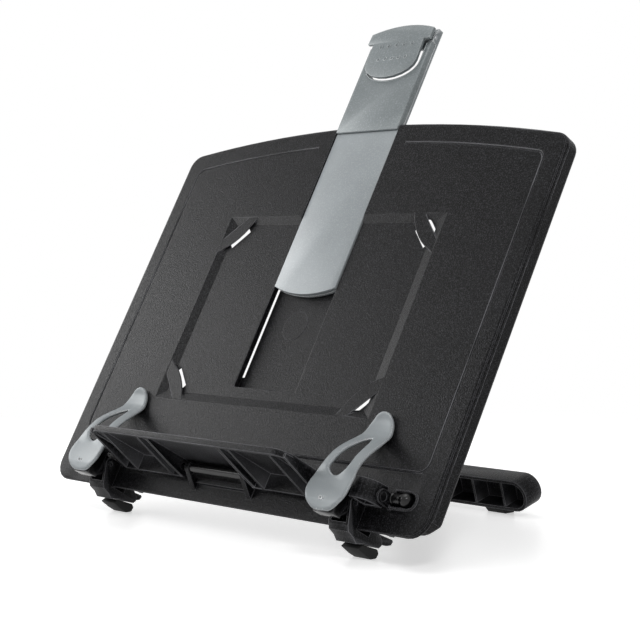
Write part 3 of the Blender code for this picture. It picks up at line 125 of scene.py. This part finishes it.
def mouldedFinish(name, look, pattern):
    made = bpy.data.materials.new(name)
    made.use_nodes = True
    tree = made.node_tree
    tree.nodes.clear()
    where = addNode(tree, "ShaderNodeTexCoord").outputs["Object"]
    grain = addNode(tree, "ShaderNodeTexNoise",
                    values={"Scale": 1 / look["grain"], "Detail": pattern["grainDetail"],
                            "Roughness": pattern["grainRoughness"]}, links={"Vector": where})
    broad = addNode(tree, "ShaderNodeTexNoise",
                    values={"Scale": pattern["driftScale"], "Detail": pattern["driftDetail"],
                            "Roughness": pattern["driftRoughness"]}, links={"Vector": where})
    # Painted edge highlight: its mask is where the rounded normal leaves the face's own
    rounded = addNode(tree, "ShaderNodeBevel", {"samples": pattern["edgeSamples"]},
                      {"Radius": look["edgeWidth"]})
    flat = addNode(tree, "ShaderNodeNewGeometry")
    along = addNode(tree, "ShaderNodeVectorMath", {"operation": "DOT_PRODUCT"},
                    links={0: rounded.outputs["Normal"], 1: flat.outputs["True Normal"]})
    edge = addNode(tree, "ShaderNodeMapRange",
                   values={"From Min": pattern["edgeFrom"], "From Max": look["edgeAt"]},
                   links={"Value": along.outputs["Value"]})
    # The painted edge highlight is laid stronger in some places than in others
    highlightPatches = addNode(tree, "ShaderNodeMapRange",
                  values={"From Min": pattern["highlightFrom"], "From Max": pattern["highlightTo"],
                          "To Min": pattern["highlightLeast"]}, links={"Value": broad.outputs["Fac"]})
    edgeHighlight = addNode(tree, "ShaderNodeMath", {"operation": "MULTIPLY"},
                   links={0: edge.outputs["Result"], 1: highlightPatches.outputs["Result"]})
    # A slow drift of tone, as resin flow leaves it
    tone = addNode(tree, "ShaderNodeMapRange",
                   values={"From Min": pattern["toneFrom"], "From Max": pattern["toneTo"],
                           "To Min": pattern["toneLow"], "To Max": pattern["toneHigh"]},
                   links={"Value": broad.outputs["Fac"]})
    # Painted glints: the grain tops a little paler than the pits between them
    glintMask = addNode(tree, "ShaderNodeMapRange",
                   values={"From Min": pattern["glintFrom"], "From Max": pattern["glintTo"]},
                   links={"Value": grain.outputs["Fac"]})
    base = addNode(tree, "ShaderNodeMix", {"data_type": "RGBA"},
                   {"A": linear(look["colour"]), "B": linear(look["glintColour"])}, {"Factor": glintMask.outputs["Result"]})
    # The edge colour is painted in along the edges as a highlight
    highlightedBase = addNode(tree, "ShaderNodeMix", {"data_type": "RGBA"}, {"B": linear(look["edge"])},
                     {"A": base.outputs["Result"], "Factor": edgeHighlight.outputs[0]})
    drift = addNode(tree, "ShaderNodeVectorMath", {"operation": "SCALE"},
                    links={0: highlightedBase.outputs["Result"], "Scale": tone.outputs["Result"]})
    rough = addNode(tree, "ShaderNodeMapRange",
                    values={"From Min": pattern["grainFrom"], "From Max": pattern["grainTo"],
                            "To Min": look["roughness"] - look["spread"] / 2,
                            "To Max": look["roughness"] + look["spread"] / 2},
                    links={"Value": grain.outputs["Fac"]})
    bump = addNode(tree, "ShaderNodeBump", values={"Strength": 1.0, "Distance": look["depth"]},
                   links={"Height": grain.outputs["Fac"], "Normal": rounded.outputs["Normal"]})
    shader = addNode(tree, "ShaderNodeBsdfPrincipled", values={"Metallic": look["metallic"]},
                     links={"Base Color": drift.outputs["Vector"], "Roughness": rough.outputs["Result"],
                            "Normal": bump.outputs["Normal"]})
    shader.inputs["Specular IOR Level"].default_value = look["sheen"]
    if look["ior"]:  # the metal keeps the shader's own
        shader.inputs["IOR"].default_value = look["ior"]
    addNode(tree, "ShaderNodeOutputMaterial", links={"Surface": shader.outputs["BSDF"]})
    return made


finishes = {name: mouldedFinish(name, look, mouldPattern) for name, look in mouldedFinishes.items()}
slotFinishes = {
    "black_moulded_plastic": "boardBlackAbs", "black_smooth_plastic": "polishedBlackAbs",
    "silver_grey_plastic": "flakeSilverAbs", "light_grey_plastic": "satinGreyAbs",
    "mid_grey_plastic": "grainedGreyAbs", "black_rubber": "soleRubber",
    "plated_steel": "zincPlatedSteel", "fibre_washer": "fibreSheet",
}
nodeSlots = {part["node"]: part["material_slot"] for part in frame["record"]["subparts"]}
bodies = frame["record"]["behaviour"]["bodies"]
nodeBodies = {name: body for body, names in bodies.items() for name in names}
for name, piece in nodes.items():
    for place in piece.material_slots:
        place.material = finishes[slotFinishes[nodeSlots[name]]]
print("finishes on", len(nodes), "CAD pieces")

# The board's own frame: x across, y behind its face, z up along it
boardStance = {"lean": 29.23, "lift": 0.0195, "back": -0.0880912}
boardPlace = (Matrix.Translation((0, boardStance["back"], boardStance["lift"]))
              @ Matrix.Rotation(-math.radians(boardStance["lean"]), 4, "X"))
toBoard = boardPlace.inverted()


def selectOnly(*chosen):
    bpy.ops.object.select_all(action="DESELECT")
    for piece in chosen:
        piece.select_set(True)
    bpy.context.view_layer.objects.active = chosen[0]


def joinTo(piece, *others):
    selectOnly(piece, *others)
    bpy.ops.object.join()


def applyModifier(piece, kind, settings):
    selectOnly(piece)
    bpy.ops.object.modifier_add(type=kind)
    modifier = piece.modifiers[-1]
    for key, value in settings.items():
        setattr(modifier, key, value)
    bpy.ops.object.modifier_apply(modifier=modifier.name)


mergeWithin, flatWithin = 0.000002, 0.6  # metres, degrees


def workCopy(nodeName, pieceName):  # a merged copy of a CAD piece, to be worked finer
    selectOnly(nodes[nodeName])
    bpy.ops.object.duplicate()
    piece = bpy.context.object
    bpy.ops.object.parent_clear(type="CLEAR_KEEP_TRANSFORM")
    piece.name = pieceName
    bpy.ops.mesh.customdata_custom_splitnormals_clear()
    bpy.ops.object.mode_set(mode="EDIT")
    bpy.ops.mesh.select_all(action="SELECT")
    bpy.ops.mesh.remove_doubles(threshold=mergeWithin)
    bpy.ops.mesh.normals_make_consistent(inside=False)
    bpy.ops.mesh.dissolve_limited(angle_limit=math.radians(flatWithin))
    bpy.ops.object.mode_set(mode="OBJECT")
    return piece


def fitPiece(piece, nodeName, smoothAngle):  # takes the node's place, body and finish
    selectOnly(piece)
    bpy.ops.object.transform_apply(location=True, rotation=True, scale=True)
    bpy.ops.object.shade_smooth_by_angle(angle=math.radians(smoothAngle))
    slotName = nodeSlots[nodeName]
    piece.data.materials.clear()
    piece.data.materials.append(finishes[slotFinishes[slotName]])
    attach(piece, nodeBodies[nodeName])
    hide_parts(nodeName)


# Mould edges: how far each piece's sharp edges are rounded
softEdges = {
    "arm_lower_cover": 0.00035, "arm_upper_cover": 0.00045, "arm_back_plate": 0.0003, "top_clip": 0.0005,
    "ledge_tray": 0.00035, "foot_bracket_left": 0.0005, "foot_bracket_right": 0.0005,
    "front_sole_left": 0.0007, "front_sole_right": 0.0007, "foot_bar": 0.0006, "leg_post": 0.0004,
    "rear_foot_left": 0.0006, "rear_foot_right": 0.0006,
    "clip_rocker_left": 0.0004, "clip_rocker_right": 0.0004, "rear_frame": 0.0003, "front_panel": 0.0005,
}
rounding = {"segments": 2, "sharpFrom": 40, "fullWidthOn": "front_panel"}
softPieces = {}
for nodeName, width in softEdges.items():
    piece = workCopy(nodeName, nodeName + "_moulded")
    applyModifier(piece, "BEVEL", {"width": width, "segments": rounding["segments"], "limit_method": "ANGLE",
                                   "angle_limit": math.radians(rounding["sharpFrom"]),
                                   "use_clamp_overlap": nodeName != rounding["fullWidthOn"]})
    softPieces[nodeName] = piece
print("edges rounded on", len(softPieces), "pieces")

curveStart = 0.01  # radius of the circle that a curve starts from
barSteps = {"along": 4, "round": 3}


def smoothCurve(points, closed=True):
    bpy.ops.object.select_all(action="DESELECT")
    bpy.ops.curve.primitive_bezier_circle_add(radius=curveStart)
    curve = bpy.context.object
    spline = curve.data.splines[0]
    spline.bezier_points.add(len(points) - len(spline.bezier_points))
    spline.use_cyclic_u = closed
    for place, point in zip(spline.bezier_points, points):
        place.handle_left_type = place.handle_right_type = "AUTO"
        place.co = point
    return curve


def addBar(name, points, radius, closed=True):  # a round bar through points (x, back, up) of the board
    bar = smoothCurve([boardPlace @ Vector(point) for point in points], closed)
    bar.name = name
    bar.data.splines[0].resolution_u = barSteps["along"]
    bar.data.bevel_depth = radius
    bar.data.bevel_resolution = barSteps["round"]
    bar.data.use_fill_caps = True
    bpy.ops.object.convert(target="MESH")
    return bpy.context.object


def drawOut(piece, isMoved, move, reach):  # moves chosen points in the board's frame, the rest follows softly
    selectOnly(piece)
    bpy.ops.object.mode_set(mode="EDIT")
    bpy.ops.mesh.select_all(action="DESELECT")
    bpy.ops.object.mode_set(mode="OBJECT")
    for vertex in piece.data.vertices:
        vertex.select = isMoved(toBoard @ vertex.co)
    bpy.ops.object.mode_set(mode="EDIT")
    bpy.ops.mesh.select_mode(type="VERT")
    bpy.ops.transform.translate(value=boardPlace.to_3x3() @ Vector(move), use_proportional_edit=True,
                                proportional_edit_falloff="SMOOTH", proportional_size=reach)
    bpy.ops.object.mode_set(mode="OBJECT")


# The tongue lies a little deeper in the cover's window than the flat plate of the CAD
tongue = {"below": 0.3310, "move": (0, 0.0013, 0), "reach": 0.006}
drawOut(softPieces["top_clip"], lambda place: place.z < tongue["below"], tongue["move"], tongue["reach"])

# The rear shell stops a little above the front panel's lower edge
shellFoot = {"below": 0.0045, "move": (0, 0, 0.0050), "reach": 0.012}
drawOut(softPieces["rear_frame"], lambda place: place.z < shellFoot["below"], shellFoot["move"],
        shellFoot["reach"])
print("tongue and rear shell drawn to their places")

# Grip dots on the top clip: low domes in two rows
gripDots = {
    "radius": 0.0014, "flatness": 0.9, "sink": 0.0001, "segments": 20, "rings": 12,
    "rows": (  # height up the board, face in front of the board, places across
        (0.3353, 0.0041, (-0.0146, -0.0073, 0.0, 0.0073, 0.0146)),
        (0.3251, 0.0037, (-0.0125, -0.00625, 0.0, 0.00625, 0.0125)),
    ),
}


def addGripDots(dots):
    bpy.ops.object.select_all(action="DESELECT")
    bpy.ops.mesh.primitive_uv_sphere_add(segments=dots["segments"], ring_count=dots["rings"],
                                         radius=dots["radius"])
    first = bpy.context.object
    bpy.ops.object.mode_set(mode="EDIT")
    bpy.ops.mesh.select_all(action="SELECT")
    bpy.ops.mesh.bisect(plane_co=(0, 0, 0), plane_no=(0, 1, 0), use_fill=True, clear_outer=True)
    bpy.ops.mesh.select_all(action="SELECT")
    bpy.ops.transform.resize(value=(1, dots["flatness"], 1), center_override=(0, 0, 0))
    bpy.ops.object.mode_set(mode="OBJECT")
    made = []
    for up, out, places in dots["rows"]:
        for across in places:
            selectOnly(first)
            bpy.ops.object.duplicate()
            dot = bpy.context.object
            dot.matrix_world = boardPlace @ Matrix.Translation((across, -out + dots["sink"], up))
            made.append(dot)
    bpy.data.objects.remove(first, do_unlink=True)
    return made


joinTo(softPieces["top_clip"], *addGripDots(gripDots))
print("grip dots on the top clip")

# A rounded rim round the window of the arm's upper cover
windowRim = {"half": 0.0246, "straight": 0.3220, "drop": 0.0131, "top": 0.3365, "back": -0.0006,
             "radius": 0.0004, "steps": 16}


def addWindowRim(rim):
    points = [(-rim["half"], rim["back"], rim["top"])]
    for step in range(rim["steps"] + 1):
        turn = math.pi + math.pi * step / rim["steps"]
        points.append((rim["half"] * math.cos(turn), rim["back"], rim["straight"] + rim["drop"] * math.sin(turn)))
    points.append((rim["half"], rim["back"], rim["top"]))
    return addBar("windowRim", points, rim["radius"], closed=False)


joinTo(softPieces["arm_upper_cover"], addWindowRim(windowRim))

# Rounded rims round the slots of the end studs
slotRim = {"from": 0.1440, "endAt": 0.1563, "up": 0.0204, "half": 0.0052, "back": -0.0003,
           "radius": 0.0007, "steps": 8}


def addSlotRim(rim, side):
    points = [(side * rim["from"], rim["back"], rim["up"] + rim["half"])]
    for step in range(rim["steps"] + 1):
        turn = math.pi / 2 - math.pi * step / rim["steps"]
        points.append((side * (rim["endAt"] + rim["half"] * math.cos(turn)), rim["back"],
                       rim["up"] + rim["half"] * math.sin(turn)))
    points.append((side * rim["from"], rim["back"], rim["up"] - rim["half"]))
    return addBar("slotRim", points, rim["radius"], closed=False)


for side in (-1, 1):
    joinTo(softPieces["front_panel"], addSlotRim(slotRim, side))
print("rims round the window and the slots")

# Shells with wide flat faces are shaded smooth over their small bevels only
smoothTo = {"front_panel": 8, "rear_frame": 8, "others": 35}
for nodeName, piece in softPieces.items():
    fitPiece(piece, nodeName, smoothTo.get(nodeName, smoothTo["others"]))
print("moulded pieces in place")

# Page clips: the CAD lever with a rounded rim round its outline and round its opening, melted together
clipLever = {
    "centres": {"clip_lever_left": -0.116, "clip_lever_right": 0.116},
    "length": 0.0705, "reach": 0.0256, "halfWidth": 0.01625,
    "stations": (  # shares of length, reach and half width, from the lower tip to the upper one
        (0.007, 0.940, 0.10), (0.020, 0.955, 0.38), (0.045, 0.975, 0.62), (0.084, 1.000, 0.81),
        (0.129, 0.996, 0.94), (0.174, 0.984, 1.00), (0.248, 0.945, 0.99), (0.318, 0.895, 0.95),
        (0.390, 0.830, 0.90), (0.481, 0.738, 0.88), (0.542, 0.652, 0.88), (0.590, 0.559, 0.87),
        (0.638, 0.450, 0.85), (0.685, 0.335, 0.81), (0.730, 0.230, 0.76), (0.780, 0.150, 0.71),
        (0.830, 0.110, 0.65), (0.885, 0.095, 0.57), (0.930, 0.105, 0.47), (0.965, 0.137, 0.35),
        (0.988, 0.156, 0.21), (1.000, 0.162, 0.07)),
    "leaf": (  # the opening's half widths at heights, from its lower tip to its upper one
        (0.0222, 0.0010), (0.0232, 0.0034), (0.0252, 0.0056), (0.0280, 0.0067), (0.0320, 0.0069),
        (0.0365, 0.0066), (0.0410, 0.0060), (0.0450, 0.0051), (0.0485, 0.0036), (0.0508, 0.0019),
        (0.0520, 0.0005)),
    "dish": 0.0007, "innerRims": (0.0014, 0.0034), "innerRadius": 0.0014, "outerInset": 0.0008,
    "outerRadius": 0.0010, "tipHalf": 0.0004,
    "crown": 0.0022, "crownReach": 0.0110, "crownHalf": 0.0078, "crownLow": 0.0285, "crownHigh": 0.0480,
    "voxel": 0.00042, "smoothBy": 0.5, "smoothing": 30, "smoothTo": 60, "mergeWithin": 0.000005,
    "pilot": {"x": -0.0020, "up": 0.0073, "radius": 0.0009, "depth": 0.0024, "segments": 24},
}


def leverFace(lever, up):  # how far in front of the board the lever's face is at a height
    rows = [(share * lever["length"], out * lever["reach"]) for share, out, wide in lever["stations"]]
    for (low, lowOut), (high, highOut) in zip(rows, rows[1:]):
        if up <= high:
            return lowOut + (highOut - lowOut) * max(0.0, (up - low) / (high - low))
    return rows[-1][1]


def leafCutter(lever, centre):  # a prism through the board's depth, in the opening's outline
    sides = [(wide, up, 0) for up, wide in lever["leaf"]]
    leaf = smoothCurve(sides + [(-wide, up, 0) for wide, up, level in sides[::-1]])
    leaf.data.dimensions = "2D"
    leaf.data.fill_mode = "BOTH"
    leaf.data.extrude = lever["reach"]
    leaf.matrix_world = boardPlace @ Matrix.Translation((centre, 0, 0)) @ Matrix.Rotation(math.pi / 2, 4, "X")
    bpy.ops.object.convert(target="MESH")
    leaf = bpy.context.object
    bpy.ops.object.mode_set(mode="EDIT")
    bpy.ops.mesh.select_all(action="SELECT")
    bpy.ops.mesh.remove_doubles(threshold=lever["mergeWithin"])
    bpy.ops.mesh.normals_make_consistent(inside=False)
    bpy.ops.object.mode_set(mode="OBJECT")
    return leaf


def leverRims(lever, centre):  # bars along the lever's outline and round its opening
    half, inset = lever["halfWidth"], lever["outerInset"]

    def onLever(x, up, sink):
        dish = lever["dish"] * (1 - (x / half) ** 2)
        return (centre + x, -leverFace(lever, up) + sink + dish, up)

    rows = [(share * lever["length"], max(wide * half - inset, lever["tipHalf"]))
            for share, out, wide in lever["stations"]]
    rows[0] = (rows[0][0] + inset, rows[0][1])
    rows[-1] = (rows[-1][0] - inset, rows[-1][1])
    outline = rows + [(up, -x) for up, x in rows[::-1]]
    bars = [addBar("outerRim", [onLever(x, up, lever["outerRadius"]) for up, x in outline], lever["outerRadius"])]
    low, high = lever["leaf"][0][0], lever["leaf"][-1][0]
    middle = (low + high) / 2
    for margin in lever["innerRims"]:
        right = [(up + margin * (up - middle) / (high - low) * 2, wide + margin)
                 for up, wide in lever["leaf"][1:-1]]
        ring = [(low - margin, 0.0)] + right + [(high + margin, 0.0)] + [(up, -x) for up, x in right[::-1]]
        bars.append(addBar("innerRim", [onLever(x, up, lever["innerRadius"]) for up, x in ring],
                           lever["innerRadius"]))
    return bars


def cutAway(piece, cutter):
    applyModifier(piece, "BOOLEAN", {"operation": "DIFFERENCE", "object": cutter, "solver": "EXACT"})
    bpy.data.objects.remove(cutter, do_unlink=True)


def pilotDrill(lever, centre):
    pilot = lever["pilot"]
    bpy.ops.mesh.primitive_cylinder_add(vertices=pilot["segments"], radius=pilot["radius"], depth=pilot["depth"])
    drill = bpy.context.object
    place = (centre + pilot["x"], -leverFace(lever, pilot["up"]), pilot["up"])
    drill.matrix_world = boardPlace @ Matrix.Translation(place) @ Matrix.Rotation(math.pi / 2, 4, "X")
    return drill


def addLever(lever, nodeName, centre):
    bars = leverRims(lever, centre)
    body = workCopy(nodeName, nodeName + "_moulded")
    cutAway(body, leafCutter(lever, centre))
    joinTo(body, *bars)
    applyModifier(body, "REMESH", {"mode": "VOXEL", "voxel_size": lever["voxel"], "use_smooth_shade": True})
    applyModifier(body, "SMOOTH", {"factor": lever["smoothBy"], "iterations": lever["smoothing"]})

    def isCrown(place):
        return abs(place.x - centre) < lever["crownHalf"] and lever["crownLow"] < place.z < lever["crownHigh"]

    # Crown: the middle round the opening is drawn forward, and the bands beside it follow in a curve
    drawOut(body, isCrown, (0, -lever["crown"], 0), lever["crownReach"])
    cutAway(body, pilotDrill(lever, centre))
    fitPiece(body, nodeName, lever["smoothTo"])
    print(nodeName, "has", len(body.data.polygons), "faces")


for nodeName, centre in clipLever["centres"].items():
    addLever(clipLever, nodeName, centre)

# End studs: a short bar that ends in a ball, lying in the rimmed slot of the board's face
endStud = {
    "nodes": {"end_stud_left": -1, "end_stud_right": 1}, "from": 0.1436, "back": 0.0, "up": 0.0206,
    "barTo": 0.1525, "barRadius": 0.0033, "collarTo": 0.1448, "collarRadius": 0.0036,
    "ballAt": 0.1536, "ballRadius": 0.0042, "segments": 48, "rings": 24,
    "edge": 0.0004, "edgeSegments": 3, "sharpFrom": 40, "voxel": 0.00018, "smoothBy": 0.5, "smoothing": 4,
    "smoothTo": 60,
}


def addEndStud(stud, nodeName, side):
    def onStud(along):
        return (boardPlace @ Matrix.Translation((side * along, stud["back"], stud["up"]))
                @ Matrix.Rotation(math.pi / 2, 4, "Y"))

    bpy.ops.object.select_all(action="DESELECT")
    made = []
    for end, radius in ((stud["barTo"], stud["barRadius"]), (stud["collarTo"], stud["collarRadius"])):
        bpy.ops.mesh.primitive_cylinder_add(vertices=stud["segments"], radius=radius, depth=end - stud["from"])
        bar = bpy.context.object
        bar.matrix_world = onStud((stud["from"] + end) / 2)
        applyModifier(bar, "BEVEL", {"width": stud["edge"], "segments": stud["edgeSegments"],
                                     "limit_method": "ANGLE", "angle_limit": math.radians(stud["sharpFrom"])})
        made.append(bar)
    bpy.ops.mesh.primitive_uv_sphere_add(segments=stud["segments"], ring_count=stud["rings"],
                                         radius=stud["ballRadius"])
    piece = bpy.context.object
    piece.matrix_world = onStud(stud["ballAt"])
    joinTo(piece, *made)
    piece.name = nodeName + "_moulded"
    applyModifier(piece, "REMESH", {"mode": "VOXEL", "voxel_size": stud["voxel"], "use_smooth_shade": True})
    applyModifier(piece, "SMOOTH", {"factor": stud["smoothBy"], "iterations": stud["smoothing"]})
    fitPiece(piece, nodeName, stud["smoothTo"])


for nodeName, side in endStud["nodes"].items():
    addEndStud(endStud, nodeName, side)
print("end studs in their slots")

# Camera: its place and aim, and its focal length and middle in the photograph's pixels
cameraPlace = {"azimuth": 46.78, "elevation": 2.40, "at": (0.7775, -0.7298912, 0.1747), "pixels": 1642.0,
               "frame": 640.0, "centre": (319.6, 320.5), "sensor": 36.0}


def addCamera(place):
    azimuth, elevation = math.radians(place["azimuth"]), math.radians(place["elevation"])
    look = Vector((-math.sin(azimuth) * math.cos(elevation), math.cos(azimuth) * math.cos(elevation),
                   -math.sin(elevation)))
    right = Vector((math.cos(azimuth), math.sin(azimuth), 0.0))
    turn = Matrix((right, right.cross(look), -look)).transposed()
    bpy.ops.object.camera_add(location=place["at"], rotation=turn.to_euler())
    camera = bpy.context.object
    camera.data.sensor_width = place["sensor"]
    camera.data.lens = place["sensor"] * place["pixels"] / place["frame"]
    camera.data.shift_x = (place["frame"] / 2 - place["centre"][0]) / place["frame"]
    camera.data.shift_y = (place["centre"][1] - place["frame"] / 2) / place["frame"]
    bpy.context.scene.camera = camera


addCamera(cameraPlace)

# Studio: a dim white room, a pale floor that the camera sees as white, and three soft lamps
studio = {
    "ambient": 0.28, "floorHex": "#f2f2f2", "floorLift": 0.50, "fadeFrom": 0.30, "fadeTo": 0.75,
    "floorSize": 9.0, "floorRoughness": 0.32, "floorSheen": 0.12, "aimAt": (0, 0, 0.12),
    "lamps": (  # name, place, width, height, watts
        ("keySoftbox", (-1.15, -0.52, 0.55), 1.2, 0.45, 9.8),
        ("edgeSoftbox", (1.10, -0.76, 1.12), 0.35, 0.35, 6.0),
        ("topSoftbox", (-0.1, -0.3, 2.2), 1.4, 1.4, 12.5),
    ),
}


def seenByEye(tree):  # 1 for rays that come from the camera, straight or by a gloss or clear surface
    rays = addNode(tree, "ShaderNodeLightPath")
    seen = addNode(tree, "ShaderNodeMath", {"operation": "ADD", "use_clamp": True},
                   links={0: rays.outputs["Is Camera Ray"], 1: rays.outputs["Is Glossy Ray"]})
    seen = addNode(tree, "ShaderNodeMath", {"operation": "ADD", "use_clamp": True},
                   links={0: seen.outputs[0], 1: rays.outputs["Is Transmission Ray"]})
    return seen.outputs[0]


def addLamps(setup):
    for name, at, width, height, power in setup["lamps"]:
        aim = (Vector(setup["aimAt"]) - Vector(at)).to_track_quat("-Z", "Y").to_euler()
        bpy.ops.object.light_add(type="AREA", location=at, rotation=aim)
        lamp = bpy.context.object
        lamp.name = name
        lamp.data.shape = "RECTANGLE"
        lamp.data.size = width
        lamp.data.size_y = height
        lamp.data.energy = power


def addRoom(setup):
    world = bpy.data.worlds.new("softWhiteRoom")
    bpy.context.scene.world = world
    world.use_nodes = True
    tree = world.node_tree
    tree.nodes.clear()
    level = addNode(tree, "ShaderNodeMapRange", values={"To Min": setup["ambient"], "To Max": 1.0},
                    links={"Value": seenByEye(tree)})
    sky = addNode(tree, "ShaderNodeBackground", values={"Color": (1, 1, 1, 1)},
                  links={"Strength": level.outputs["Result"]})
    addNode(tree, "ShaderNodeOutputWorld", links={"Surface": sky.outputs[0]})


def addFloor(setup):  # pale paper that the camera sees lifted to white, apart from the shadow round the stand
    bpy.ops.object.select_all(action="DESELECT")
    bpy.ops.mesh.primitive_plane_add(size=setup["floorSize"], location=(0, 0, 0))
    floor = bpy.context.object
    floor.name = "paleFloor"
    paper = bpy.data.materials.new("paleFloorPaper")
    paper.use_nodes = True
    tree = paper.node_tree
    tree.nodes.clear()
    where = addNode(tree, "ShaderNodeTexCoord").outputs["Object"]
    distance = addNode(tree, "ShaderNodeVectorMath", {"operation": "LENGTH"}, links={0: where})
    far = addNode(tree, "ShaderNodeMapRange", {"interpolation_type": "SMOOTHSTEP"},
                  {"From Min": setup["fadeFrom"], "From Max": setup["fadeTo"]},
                  {"Value": distance.outputs["Value"]})
    sheet = addNode(tree, "ShaderNodeBsdfPrincipled",
                    values={"Base Color": linear(setup["floorHex"]), "Roughness": setup["floorRoughness"],
                            "Specular IOR Level": setup["floorSheen"]})
    lift = addNode(tree, "ShaderNodeEmission", values={"Color": (1, 1, 1, 1), "Strength": setup["floorLift"]})
    white = addNode(tree, "ShaderNodeEmission", values={"Color": (1, 1, 1, 1), "Strength": 1.0})
    lifted = addNode(tree, "ShaderNodeAddShader", links={0: sheet.outputs[0], 1: lift.outputs[0]})
    faded = addNode(tree, "ShaderNodeMixShader",
                    links={0: far.outputs["Result"], 1: lifted.outputs[0], 2: white.outputs[0]})
    shown = addNode(tree, "ShaderNodeMixShader",
                    links={0: seenByEye(tree), 1: sheet.outputs[0], 2: faded.outputs[0]})
    addNode(tree, "ShaderNodeOutputMaterial", links={"Surface": shown.outputs[0]})
    floor.data.materials.append(paper)


addLamps(studio)
addRoom(studio)
addFloor(studio)
bpy.context.scene.view_settings.view_transform = "Standard"
print("camera, lamps and floor ready")
